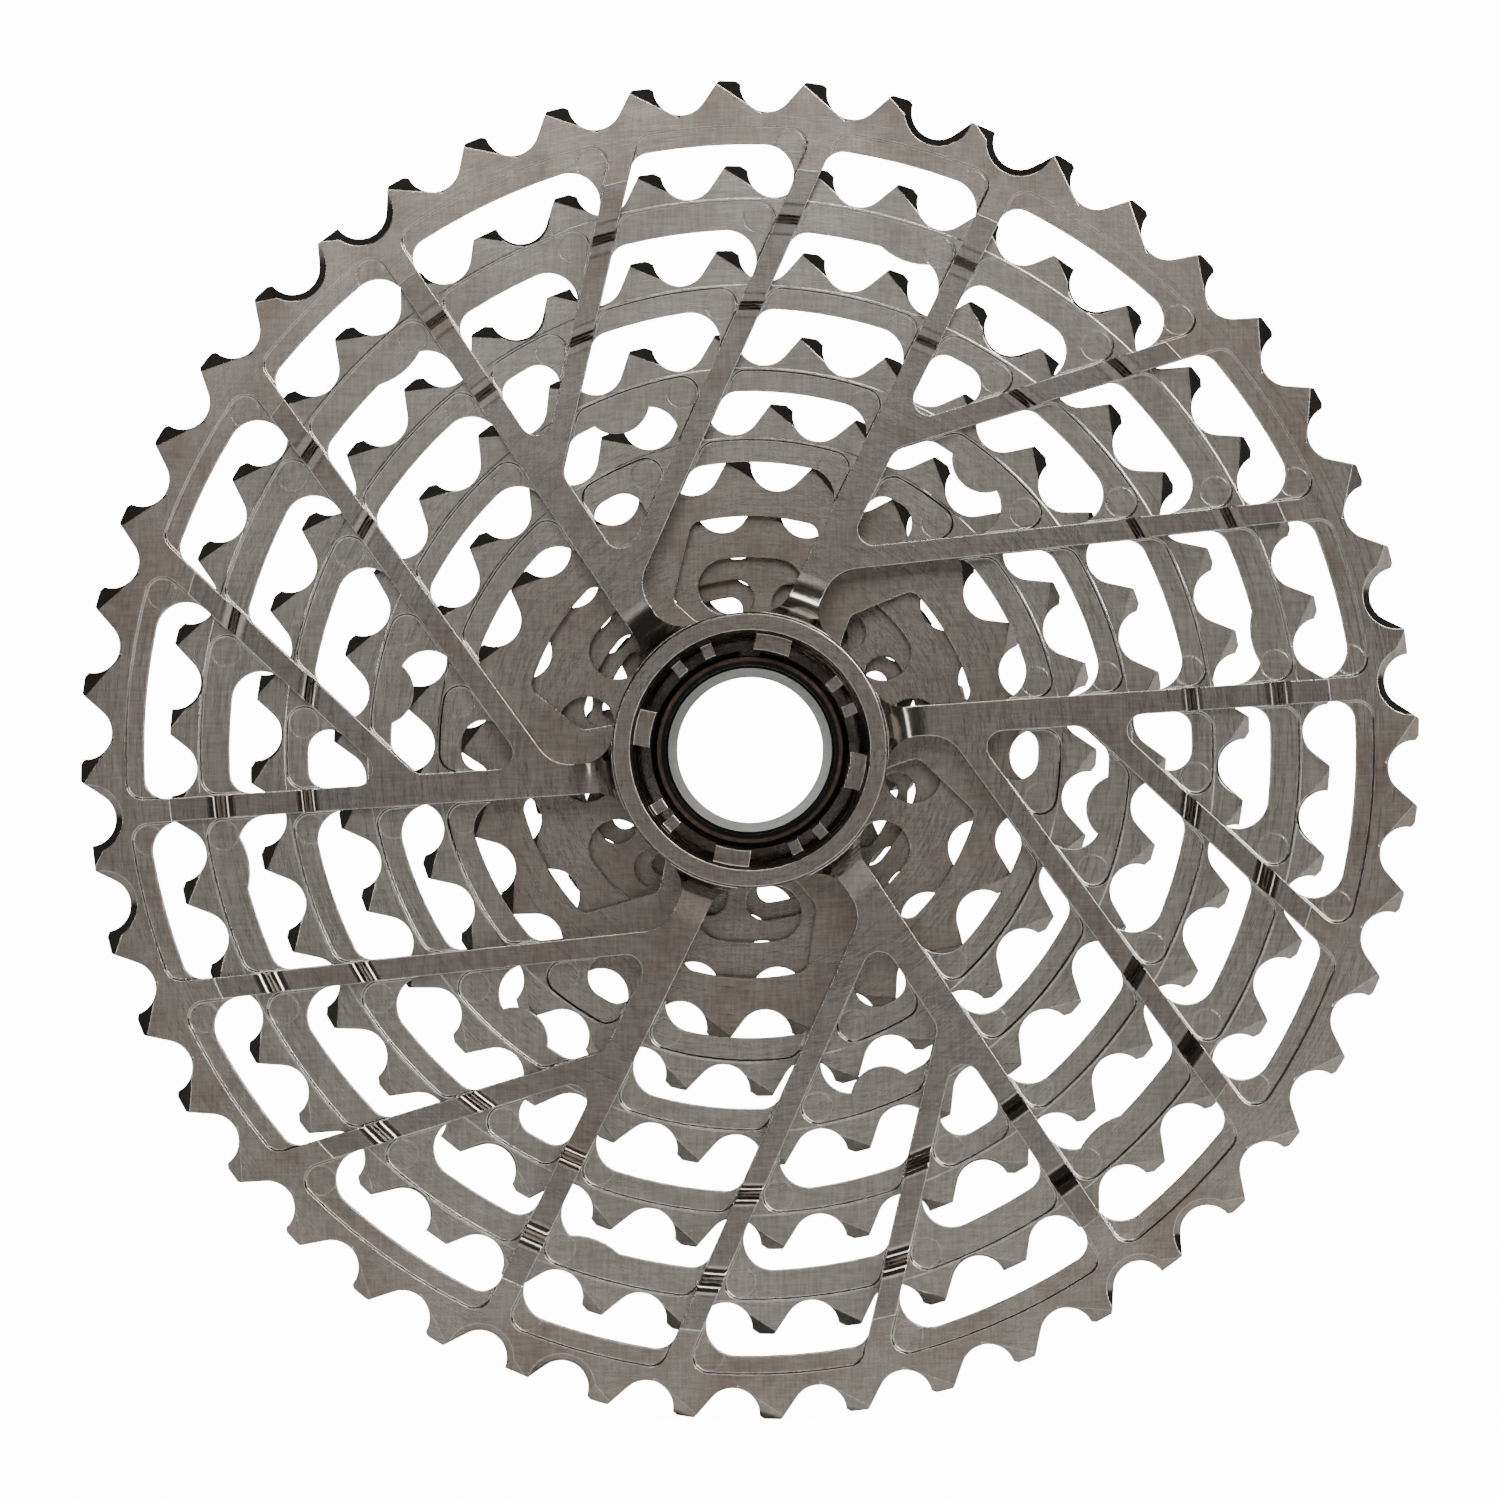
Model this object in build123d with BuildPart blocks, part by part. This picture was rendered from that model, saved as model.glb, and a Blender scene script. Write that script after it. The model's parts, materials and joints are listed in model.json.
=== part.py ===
"""Eleven-speed bicycle cassette: eleven toothed rims on a stepped spider, with a captive lock tube.

Frame: the axis of the cassette is the Y axis. The rear face, the one beside the wheel's spokes,
is at y = 0 and the smaller sprockets follow towards +Y. +Z is up, +X is right as seen from the
rear. The origin is the centre of the bore in the rear face. All sizes are in millimetres, and
bearings are in degrees clockwise from the top as seen from the rear.
"""

import math
import os

from build123d import *

# ---------------------------------------------------------------- chain and stack
CHAIN_PITCH = 12.7
STATION_PITCH = 3.74
PLATE = 1.8
RIM_PLATE = 2.0
TOOTH_STEP = 0.12
BAND_LAND = 0.15
RIM_CLEAR = 20.0
SEAT_RADIUS = 3.95
ADDENDUM = 0.7
SLOPE_ANGLE = 40.0
STEEP_LEAN = 0.25
TIP_ROUND = 1.2

TEETH = (48, 42, 36, 30, 25, 21, 18, 16, 14, 12, 10)
FIRST_TOOTH = (5.25, 6.71, 6.85, 8.0, 4.5, 14.1, 3.5, 7.75, 14.5, 9.0, 12.0)

# ---------------------------------------------------------------- rims on the spider
BAND_WALL = (1.94, 0.42, 0.71, 0.6, 0.61)
WINDOW_WALL = (4.64, 4.72, 3.91, 3.8, 4.01)
POCKET_DEPTH = 0.3
POCKET_WALL_ANGLE = 45.0
CUTTER_MARK_WIDTH = 0.1
CUTTER_MARK_DEPTH = 0.05
CUTTER_MARK_GAP = 0.12
POCKET_CORNER = 2.6
WINDOW_CORNER_TRAILING = 3.0
WINDOW_CORNER_LEADING = 4.4
LEADING_SHARE = 0.25
TRAILING_SHARE = 0.2
SMALLEST_WINDOW = 25.0
NOTCH_WALL = 2.2
LOBES = ((1, 17.8, 10.0, 1.1), (3, 39.0, 5.0, 2.7))

# ---------------------------------------------------------------- tooth details
FACET_TILT = 52.0
FACET_TURN = 24.0
FACET_DROP = 1.3
LOW_TEETH = ((0, 20.25), (1, 32.42), (2, 36.85))
LOW_TOOTH_CUT = 0.7
SCALLOPS = ((0, 16.5, 1.1, 1.3), (0, 24.0, 1.1, 1.3), (1, 36.71, 0.5, 0.4), (2, 31.85, 0.5, 0.4))

# ---------------------------------------------------------------- spider arms
SECTORS = 6
ARM_STEM = (26.25, 1.5, 4.88)
ARM_MIDDLE = (73.0, 36.1, 39.2)
ARM_SIDE = (84.0, 24.9, 28.0)
TRUNK_NEAR = 0.4
TRUNK_REACH = 50.0
CROTCH_TIGHT = 2.4
CROTCH_WIDE = 3.0
CROTCH_LOW = 5.5
FOOT_FILLET = 5.0

ARM_JOINT_WALL = 8.14
TONGUE_WALL = 2.54
ARM_RUN_OUT = 8.0
BEVEL_OUTER_WALLS = (5.52, 1.02)
BEVEL_INNER_WALLS = (5.4, 1.9)
FOOT_REACH = 7.05
FOOT_LEDGE = 0.3

# ---------------------------------------------------------------- hub and driver interface
PILOT_RADIUS = 17.55
PILOT_DEPTH = 3.0
HUB_WALL = 2.6
HUB_CHAMFER = 0.3
ENTRY_STEP = 0.45
ENTRY_DEPTH = 5.5
SPLINE_STEP = 0.4
KEY_HEIGHT = 2.3
SPLINE_END = 13.3
STACK_STEP = 0.5
WIDE_KEYS = (12.2, 101.3, 189.6, 281.6)
WIDE_KEY_WIDTH = 5.3
NARROW_KEYS = (52.0, 68.0, 139.3, 155.0, 226.8, 238.0, 319.0, 337.0)
NARROW_KEY_WIDTH = 1.7
WIDE_KEY_START = 4.5
NARROW_KEY_START = 6.3
KEY_ROOT = 0.7
KEY_BEVEL = 0.4

# ---------------------------------------------------------------- carrier sprocket windows
CARRIER_WINDOWS = ((33.9, 45.5, 36.8, 41.0), (34.8, 45.5, 32.6, 38.0))
CARRIER_WINDOW_WAIST = 4.85
CARRIER_WINDOW_CORNER = 1.8
KIDNEYS = {6: (24.6, 4.15, 27.0, 63.5), 7: (22.8, 2.8, 8.5, 46.5), 8: (21.3, 1.8, 12.0, 42.0)}
KIDNEY_COUNT = 8

# ---------------------------------------------------------------- small sprockets
SPACER_WALL = 3.4
NOSE_INDEX = 9
NOSE_STEP = 2.1
NOSE_SPACER_WALL = 1.9

# ---------------------------------------------------------------- lock tube
RUNNING_GAP = 0.3
TUBE_WALL = 1.2
TUBE_START = 15.0
LIP_THICKNESS = 1.6
LIP_STEP = 0.6
TOOL_BORE_STEP = 1.0
TOOL_SLOT_LENGTH = 2.0
FLANGE_WIDTH = 1.4
FLANGE_THICKNESS = 1.2
FLANGE_CHAMFER = 0.3
THREAD_LENGTH = 7.0
THREAD_PITCH = 1.0
THREAD_DEPTH = 0.35
TOOL_SLOTS = 12
TOOL_SLOT_DEPTH = 0.9
TOOL_SLOT_WIDTH = 2.2
WASHER_THICKNESS = 0.5
AXIAL_GAP = 0.15
SNAP_RING_WIDTH = 1.0
SNAP_RING_STAND = 1.1
SNAP_GROOVE_DEPTH = 0.5
SNAP_RING_SPLIT = 3.0

# ---------------------------------------------------------------- pins
PIN_RADIUS = 0.7
PIN_BITE = 2.2
PIN_SHORT_OF_FACE = 0.6
RIVET_RADIUS = 1.1
RIVETS = 6
RIVET_BITE = 5.0
RIVET_HEAD_RADIUS = 1.7
RIVET_HEAD = 0.5
NOSE_PINS = 5
NOSE_PIN_RADIUS = 0.6
NOSE_PIN_BITE = 1.3


# ---------------------------------------------------------------- derived sizes
RIMS = range(5)
DISCS = range(5, len(TEETH))
HUB_RADIUS = PILOT_RADIUS + HUB_WALL
FOOT_RADIUS = HUB_RADIUS + FOOT_REACH
ENTRY_RADIUS = PILOT_RADIUS - ENTRY_STEP
SPLINE_ROOT = ENTRY_RADIUS - SPLINE_STEP
SPLINE_TIP = SPLINE_ROOT - KEY_HEIGHT
STACK_BORE = SPLINE_ROOT - STACK_STEP
SPACER_OUTER = STACK_BORE + SPACER_WALL
RIVET_CIRCLE = (STACK_BORE + SPACER_OUTER) / 2
NOSE_BORE = STACK_BORE - NOSE_STEP
NOSE_SPACER_OUTER = NOSE_BORE + NOSE_SPACER_WALL
NOSE_PIN_CIRCLE = (NOSE_BORE + NOSE_SPACER_OUTER) / 2
TUBE_OUTER = NOSE_BORE - RUNNING_GAP
TUBE_INNER = TUBE_OUTER - TUBE_WALL
TOOL_BORE = TUBE_INNER - TOOL_BORE_STEP
LIP_BORE = TOOL_BORE - LIP_STEP
FLANGE_RADIUS = TUBE_OUTER + FLANGE_WIDTH
SNAP_RING_RADIUS = TUBE_OUTER + SNAP_RING_STAND
NOSE_FACE = (len(TEETH) - 1) * STATION_PITCH + PLATE
SNAP_RING_FRONT = NOSE_INDEX * STATION_PITCH - AXIAL_GAP
THREADS = round(THREAD_LENGTH / THREAD_PITCH)


def pitch_radius(teeth):
    """Radius of the circle through the roller centres."""
    return CHAIN_PITCH / (2 * math.sin(math.pi / teeth))


def rear_of(index):
    """Axial place of a sprocket's rear face."""
    return index * STATION_PITCH


def station(depth):
    """Drawing plane at a depth behind the rear face, seen from the rear: X right, Z up."""
    return Plane.XZ.offset(-depth)


def polar(radius, bearing):
    """Point at a radius and a bearing."""
    angle = math.radians(bearing)
    return (radius * math.sin(angle), radius * math.cos(angle))


def turned(point, bearing):
    """Point turned clockwise about the axis."""
    angle = math.radians(bearing)
    x, z = point
    return (x * math.cos(angle) + z * math.sin(angle), z * math.cos(angle) - x * math.sin(angle))


def along(bearing, offset, reach):
    """Point on an arm's edge line, which runs out on a bearing, offset to the left of the axis."""
    angle = math.radians(bearing)
    return (
        reach * math.sin(angle) - offset * math.cos(angle),
        reach * math.cos(angle) + offset * math.sin(angle),
    )


def on_circle(arm, radius):
    """Point where an arm's centre line meets a circle."""
    bearing, near, far = arm
    offset = (near + far) / 2
    return along(bearing, offset, math.sqrt(radius**2 - offset**2))


def inside_root(index, wall):
    """Radius at a wall's thickness inside the bottoms of a sprocket's valleys."""
    return pitch_radius(TEETH[index]) - SEAT_RADIUS - wall


def notch_radius(index):
    """Radius out to which the spider's arms reach into a rim."""
    return inside_root(index, NOTCH_WALL)


def arm_joint():
    """Radius at which the arms step down behind the largest rim."""
    return inside_root(0, ARM_JOINT_WALL)


def tongue_end():
    """Radius at which the arms end, in front of the largest rim."""
    return inside_root(0, TONGUE_WALL)


# ---------------------------------------------------------------- outlines
def bar(bearing, near, far, start, end):
    """Straight arm as a strip between two edge lines."""
    return Polygon(
        along(bearing, near, start),
        along(bearing, near, end),
        along(bearing, far, end),
        along(bearing, far, start),
        align=None,
    )


def branch_start(arm):
    """Reach at which a branch's centre line meets the stem's centre line."""
    bearing, near, far = arm
    turn = math.radians(bearing - ARM_STEM[0])
    middle = (near + far) / 2
    stem_middle = (ARM_STEM[1] + ARM_STEM[2]) / 2
    return (middle * math.cos(turn) - stem_middle) / math.sin(turn)


def stem_crossing(stem_offset, bearing, offset):
    """Point where a branch's edge line crosses a stem edge line."""
    turn = math.radians(bearing - ARM_STEM[0])
    reach = (offset * math.cos(turn) - stem_offset) / math.sin(turn)
    return along(bearing, offset, reach)


def hub_crossing(offset):
    """Point where a stem edge line leaves the hub."""
    return along(ARM_STEM[0], offset, math.sqrt(HUB_RADIUS**2 - offset**2))


def vertices_at(sketch, points, tolerance=0.05):
    """Vertices of a sketch that stand at the given points in any sector."""
    spots = [turned(p, 360 / SECTORS * k) for p in points for k in range(SECTORS)]
    return [v for v in sketch.vertices() if any(math.dist((v.X, v.Y), s) < tolerance for s in spots)]


def spider_outline(reach):
    """Plan of the spider: hub disc, six trunks and eighteen arms out to a reach."""
    middle, side = ARM_MIDDLE, ARM_SIDE
    with BuildSketch() as plan:
        Circle(HUB_RADIUS)
        with PolarLocations(0, SECTORS):
            bar(*ARM_STEM, 0, reach)
            bar(ARM_STEM[0], TRUNK_NEAR, ARM_STEM[2], 0, TRUNK_REACH)
            bar(*middle, branch_start(middle), reach)
            bar(*side, branch_start(side), reach)
        feet = [hub_crossing(TRUNK_NEAR), hub_crossing(ARM_STEM[2])]
        fillet(vertices_at(plan, feet), FOOT_FILLET)
        fillet(vertices_at(plan, [stem_crossing(TRUNK_NEAR, side[0], side[1])]), CROTCH_LOW)
        fillet(vertices_at(plan, [stem_crossing(TRUNK_NEAR, side[0], side[2])]), CROTCH_TIGHT)
        fillet(vertices_at(plan, [stem_crossing(TRUNK_NEAR, middle[0], middle[1])]), CROTCH_WIDE)
        fillet(vertices_at(plan, [stem_crossing(ARM_STEM[1], middle[0], middle[2])]), CROTCH_TIGHT)
    return plan.sketch_local


def bearing_of(vertex):
    """Bearing of a point of an outline."""
    return math.degrees(math.atan2(vertex.X, vertex.Y))


def rounded_cell(cell, radius, trailing, leading):
    """One opening with its two outer corners rounded, as far as its width allows."""
    with BuildSketch() as opening:
        add(cell)
        first, last = [v for v in opening.vertices() if abs(math.hypot(v.X, v.Y) - radius) < 0.01]
        if (bearing_of(last) - bearing_of(first)) % 360 > 180:
            first, last = last, first
        width = radius * math.radians((bearing_of(last) - bearing_of(first)) % 360)
        fillet(last, min(leading, LEADING_SHARE * width))
        spot = min(opening.vertices(), key=lambda v: math.dist((v.X, v.Y), (first.X, first.Y)))
        fillet(spot, min(trailing, TRAILING_SHARE * width))
    return opening.sketch_local


def window_cells(spider, radius, trailing, leading):
    """Openings between the arms inside a radius, with rounded outer corners."""
    with BuildSketch() as whole:
        Circle(radius)
        add(spider, mode=Mode.SUBTRACT)
    with BuildSketch() as cells:
        for cell in whole.sketch_local.faces():
            if cell.area > SMALLEST_WINDOW:
                add(rounded_cell(cell, radius, trailing, leading))
    return cells.sketch_local


def cutter_marks(pockets):
    """Rings that the cutter leaves where it turns in the last corner of each pocket."""
    mark = POCKET_CORNER - POCKET_DEPTH - CUTTER_MARK_GAP
    with BuildSketch() as marks:
        for pocket in pockets.faces():
            corners = [
                edge for edge in pocket.outer_wire().edges().filter_by(GeomType.CIRCLE)
                if abs(edge.radius - POCKET_CORNER) < 0.01
            ]
            if corners:
                last = max(corners, key=lambda edge: turn_from(pocket.center(), edge.arc_center))
                with Locations((last.arc_center.X, last.arc_center.Y)):
                    Circle(mark)
                    Circle(mark - CUTTER_MARK_WIDTH, mode=Mode.SUBTRACT)
    return marks.sketch_local


def turn_from(start, end):
    """Signed turn from one point's bearing to another's, clockwise."""
    return (bearing_at((end.X, end.Y)) - bearing_at((start.X, start.Y)) + 180) % 360 - 180


def valley_outline():
    """Gap between two teeth, drawn about a roller centre with X pointing outwards.

    The side towards +Y is the steep flank of one tooth and the other side is the sloping flank
    and the rounded tip corner of the next.
    """
    slope = math.radians(SLOPE_ANGLE)
    heading = (math.cos(slope), -math.sin(slope))
    foot = (-SEAT_RADIUS * math.sin(slope), -SEAT_RADIUS * math.cos(slope))
    shoulder_x = ADDENDUM - TIP_ROUND * (1 - math.sin(slope))
    run = (shoulder_x - foot[0]) / heading[0]
    shoulder = (shoulder_x, foot[1] + run * heading[1])
    crest = (ADDENDUM, shoulder[1] - TIP_ROUND * math.cos(slope))
    clear = ADDENDUM + 2
    with BuildSketch() as valley:
        with BuildLine():
            Line((clear, crest[1]), crest)
            TangentArc(shoulder, crest, tangent=heading)
            Line(shoulder, foot)
            ThreePointArc(foot, (-SEAT_RADIUS, 0), (0, SEAT_RADIUS))
            Line((0, SEAT_RADIUS), (clear, SEAT_RADIUS + STEEP_LEAN * clear))
            Line((clear, SEAT_RADIUS + STEEP_LEAN * clear), (clear, crest[1]))
        make_face()
    return valley.sketch_local


def toothed_disc(index):
    """Outline of a sprocket with its teeth, still solid in the middle."""
    teeth = TEETH[index]
    pitch = pitch_radius(teeth)
    valley_bearing = FIRST_TOOTH[index] + 180 / teeth
    with BuildSketch() as disc:
        Circle(pitch + ADDENDUM)
        with PolarLocations(pitch, teeth, start_angle=90 - valley_bearing):
            add(valley_outline(), mode=Mode.SUBTRACT)
        for bearing in [b for i, b in LOW_TEETH if i == index]:
            with PolarLocations(pitch + ADDENDUM - LOW_TOOTH_CUT, SECTORS, start_angle=90 - bearing):
                Rectangle(3, 7, align=(Align.MIN, Align.CENTER), mode=Mode.SUBTRACT)
    return disc.sketch_local


def kidney(centre_radius, half_width, start, end):
    """Curved slot between two bearings, its ends rounded."""
    cap = math.degrees(math.asin(half_width / centre_radius))
    low, high = 90 - end + cap, 90 - start - cap
    with BuildSketch() as slot:
        with BuildLine(mode=Mode.PRIVATE):
            middle = CenterArc((0, 0), centre_radius, low, high - low)
        SlotArc(middle, 2 * half_width)
    return slot.sketch_local


def pin_plan(index):
    """Plan of the pins between one rim and the arms that carry it."""
    circle = (arm_joint() + tongue_end()) / 2 if index == 0 else notch_radius(index) + NOTCH_WALL / 2
    arms = (ARM_STEM, ARM_SIDE) if circle < TRUNK_REACH else (ARM_STEM, ARM_MIDDLE, ARM_SIDE)
    with BuildSketch() as pins:
        with PolarLocations(0, SECTORS):
            with Locations([on_circle(arm, circle) for arm in arms]):
                Circle(PIN_RADIUS)
    return pins.sketch_local


def rivet_plan(radius):
    """Plan of the long rivets, or of their heads."""
    with BuildSketch() as rivets:
        with PolarLocations(RIVET_CIRCLE, RIVETS, start_angle=90):
            Circle(radius)
    return rivets.sketch_local


def nose_pin_plan():
    """Plan of the pins in the smallest sprocket."""
    with BuildSketch() as pins:
        with PolarLocations(NOSE_PIN_CIRCLE, NOSE_PINS, start_angle=90):
            Circle(NOSE_PIN_RADIUS)
    return pins.sketch_local


# ---------------------------------------------------------------- shared cuts
def facet_tips(index):
    """Cut a slanting facet on the rear of every tooth tip."""
    teeth = TEETH[index]
    pitch = pitch_radius(teeth)
    with PolarLocations(pitch + ADDENDUM - FACET_DROP, teeth, start_angle=90 - FIRST_TOOTH[index]):
        Box(
            6, 12, 9,
            rotation=(0, -FACET_TILT, -FACET_TURN),
            align=(Align.MIN, Align.CENTER, Align.CENTER),
            mode=Mode.SUBTRACT,
        )


def cut_scallops(index):
    """Cut conical scallops round chosen valleys on the rear face."""
    pitch = pitch_radius(TEETH[index])
    for bearing, width, depth in [s[1:] for s in SCALLOPS if s[0] == index]:
        with PolarLocations(pitch, SECTORS, start_angle=90 - bearing):
            Cone(
                SEAT_RADIUS, SEAT_RADIUS + width, depth,
                align=(Align.CENTER, Align.CENTER, Align.MAX),
                mode=Mode.SUBTRACT,
            )


def save(part, name):
    """Label a finished piece and write its file."""
    part.label = name
    export_step(part, f"parts/{name}.step")
    print(f"{name}: {len(part.solids())} solid(s), {part.volume:.0f} mm3")


def name_of(index):
    """Node name of a sprocket."""
    return f"sprocket_{TEETH[index]}t"


# ---------------------------------------------------------------- pieces
def rim_sprocket(index, spider):
    """Toothed rim with pocketed webs, notched for the spider's arms."""
    thickness = RIM_PLATE if index == 0 else PLATE
    hold = arm_joint() if index == 0 else notch_radius(index)
    line, edge = inside_root(index, BAND_WALL[index]), inside_root(index, WINDOW_WALL[index])
    windows = window_cells(spider, edge, WINDOW_CORNER_TRAILING, WINDOW_CORNER_LEADING)
    pockets = window_cells(spider, line, POCKET_CORNER, POCKET_CORNER)
    face = station(rear_of(index))
    with BuildPart(face) as rim:
        with BuildSketch(face) as outline:
            add(toothed_disc(index))
            with BuildSketch(mode=Mode.PRIVATE) as lightened:
                add(windows)
                for bearing, radius, depth in [lobe[1:] for lobe in LOBES if lobe[0] == index]:
                    with PolarLocations(edge - depth + radius, SECTORS, start_angle=90 - bearing):
                        Circle(radius, mode=Mode.SUBTRACT)
            add(lightened.sketch_local, mode=Mode.SUBTRACT)
            with BuildSketch(mode=Mode.PRIVATE) as arms:
                add(spider)
                Circle(hold, mode=Mode.INTERSECT)
            add(arms.sketch_local, mode=Mode.SUBTRACT)
        extrude(amount=-thickness)
        with BuildSketch(station(rear_of(index) + (PIN_SHORT_OF_FACE if index == 0 else 0))):
            add(pin_plan(index))
        extrude(amount=-thickness, mode=Mode.SUBTRACT)
        with BuildSketch(face):
            add(pockets)
        extrude(amount=-POCKET_DEPTH, taper=POCKET_WALL_ANGLE, mode=Mode.SUBTRACT)
        with BuildSketch(station(rear_of(index) + POCKET_DEPTH)):
            add(cutter_marks(pockets))
        extrude(amount=-CUTTER_MARK_DEPTH, mode=Mode.SUBTRACT)
        if index > 0:
            with BuildSketch(Plane.XY):
                with Locations((line + BAND_LAND, rear_of(index))):
                    Polygon(
                        (0, 0), (TOOTH_STEP, TOOTH_STEP),
                        (RIM_CLEAR, TOOTH_STEP), (RIM_CLEAR, 0), align=None,
                    )
            revolve(axis=Axis.Y, mode=Mode.SUBTRACT)
        facet_tips(index)
        cut_scallops(index)
    return rim.part


def key_plan(bearings, width):
    """Plan of driver keys that stand inwards from the hub's bore."""
    with BuildSketch() as keys:
        for bearing in bearings:
            with PolarLocations(SPLINE_TIP, 1, start_angle=90 - bearing):
                Rectangle(SPLINE_ROOT - SPLINE_TIP + KEY_ROOT, width, align=(Align.MIN, Align.CENTER))
        Circle(SPLINE_ROOT + KEY_ROOT, mode=Mode.INTERSECT)
    return keys.sketch_local


def spider_section():
    """Half section of the spider, X the radius and Y the depth, with its steps for the rims."""
    foot = rear_of(2)
    rise = FOOT_RADIUS - HUB_RADIUS - FOOT_LEDGE
    inner = [inside_root(2, wall) for wall in BEVEL_INNER_WALLS]
    outer = [inside_root(1, wall) for wall in BEVEL_OUTER_WALLS]
    with BuildSketch() as section:
        with BuildLine():
            Polyline(
                (PILOT_RADIUS, 0),
                (HUB_RADIUS - HUB_CHAMFER, 0),
                (HUB_RADIUS, HUB_CHAMFER),
                (HUB_RADIUS + FOOT_LEDGE, foot - rise),
            )
            RadiusArc((HUB_RADIUS + FOOT_LEDGE, foot - rise), (FOOT_RADIUS, foot), rise)
            Line((FOOT_RADIUS, foot), (inner[0], foot))
            ogee(inner, foot, rear_of(1))
            Line((inner[1], rear_of(1)), (outer[0], rear_of(1)))
            ogee(outer, rear_of(1), 0)
            Polyline(
                (outer[1], 0),
                (arm_joint(), 0),
                (arm_joint(), RIM_PLATE),
                (tongue_end(), RIM_PLATE),
                (tongue_end(), rear_of(1)),
                (notch_radius(1), rear_of(1)),
                (notch_radius(1), rear_of(2)),
                (notch_radius(2), rear_of(2)),
                (notch_radius(2), rear_of(3)),
                (notch_radius(3), rear_of(3)),
                (notch_radius(3), rear_of(4)),
                (notch_radius(4), rear_of(4)),
                (notch_radius(4), rear_of(5)),
                (STACK_BORE, rear_of(5)),
                *bore_step(STACK_BORE, SPLINE_ROOT, SPLINE_END),
                *bore_step(SPLINE_ROOT, ENTRY_RADIUS, ENTRY_DEPTH),
                *bore_step(ENTRY_RADIUS, PILOT_RADIUS, PILOT_DEPTH),
                (PILOT_RADIUS, 0),
            )
        make_face()
    return section.sketch_local


def bore_step(narrow, wide, depth):
    """Two points of a sloping step in the bore, from the narrow side to the wide side."""
    return (narrow, depth + wide - narrow), (wide, depth)


def ogee(radii, inner_depth, outer_depth):
    """Bevel between two levels of the arms, as two equal tangent arcs."""
    inner, outer = (radii[0], inner_depth), (radii[1], outer_depth)
    middle = ((inner[0] + outer[0]) / 2, (inner[1] + outer[1]) / 2)
    TangentArc(inner, middle, tangent=(1, 0))
    TangentArc(outer, middle, tangent=(-1, 0))


def stepped_spider(spider):
    """Hub, six trunks and eighteen stepped arms, with the driver's keys in the bore."""
    with BuildPart() as body:
        with BuildSketch(station(0)):
            add(spider)
        extrude(amount=-rear_of(5))
        with BuildSketch(Plane.XY):
            add(spider_section())
        revolve(axis=Axis.Y, mode=Mode.INTERSECT)
        for bearings, width, start in (
            (NARROW_KEYS, NARROW_KEY_WIDTH, NARROW_KEY_START),
            (WIDE_KEYS, WIDE_KEY_WIDTH, WIDE_KEY_START),
        ):
            with BuildSketch(station(start)):
                add(key_plan(bearings, width))
            extrude(amount=start - SPLINE_END)
            with BuildSketch(Plane.XY):
                with Locations((SPLINE_TIP, start)):
                    Polygon((0, 0), (KEY_BEVEL, 0), (0, KEY_BEVEL), align=None)
            revolve(axis=Axis.Y, mode=Mode.SUBTRACT)
        for index in RIMS:
            front = rear_of(1) if index == 0 else rear_of(index)
            with BuildSketch(station(front)):
                add(pin_plan(index))
            extrude(amount=PIN_BITE, mode=Mode.SUBTRACT)
        with BuildSketch(station(rear_of(5))):
            add(rivet_plan(RIVET_RADIUS))
        extrude(amount=RIVET_BITE, mode=Mode.SUBTRACT)
    return body.part


def hub_of(spider):
    """The spider's hub, with its keys."""
    with BuildPart() as hub:
        add(spider)
        with BuildSketch(station(0)):
            Circle(HUB_RADIUS)
        extrude(amount=-rear_of(5), mode=Mode.INTERSECT)
    return hub.part


def arms_of(spider):
    """The spider's six trunks, each with its three arms, in clockwise order."""
    with BuildPart() as arms:
        add(spider)
        with BuildSketch(station(0)):
            Circle(HUB_RADIUS)
        extrude(amount=-rear_of(5), mode=Mode.SUBTRACT)
    return sorted(arms.part.solids(), key=lambda arm: bearing_at((arm.center().X, arm.center().Z)) % 360)


def carrier_window(shape):
    """Opening beside one trunk of the carrier sprocket."""
    edge, outer_bearing, waist_bearing, hub_bearing = shape
    trunk = ARM_STEM[2]
    end = along(ARM_STEM[0] + 60, trunk, math.sqrt(edge**2 - trunk**2))
    low = along(ARM_STEM[0] + 60, trunk, math.sqrt(HUB_RADIUS**2 - trunk**2))
    start = polar(edge, outer_bearing)
    waist = polar(HUB_RADIUS + CARRIER_WINDOW_WAIST, waist_bearing)
    foot = polar(HUB_RADIUS, hub_bearing)
    with BuildSketch() as opening:
        with BuildLine():
            Polyline(foot, waist, start)
            ThreePointArc(start, polar(edge, (outer_bearing + bearing_at(end)) / 2), end)
            Line(end, low)
            ThreePointArc(low, polar(HUB_RADIUS, (hub_bearing + bearing_at(low)) / 2), foot)
        make_face()
        fillet(opening.vertices(), CARRIER_WINDOW_CORNER)
    return opening.sketch_local


def bearing_at(point):
    """Bearing of a point given as a pair."""
    return math.degrees(math.atan2(point[0], point[1]))


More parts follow.
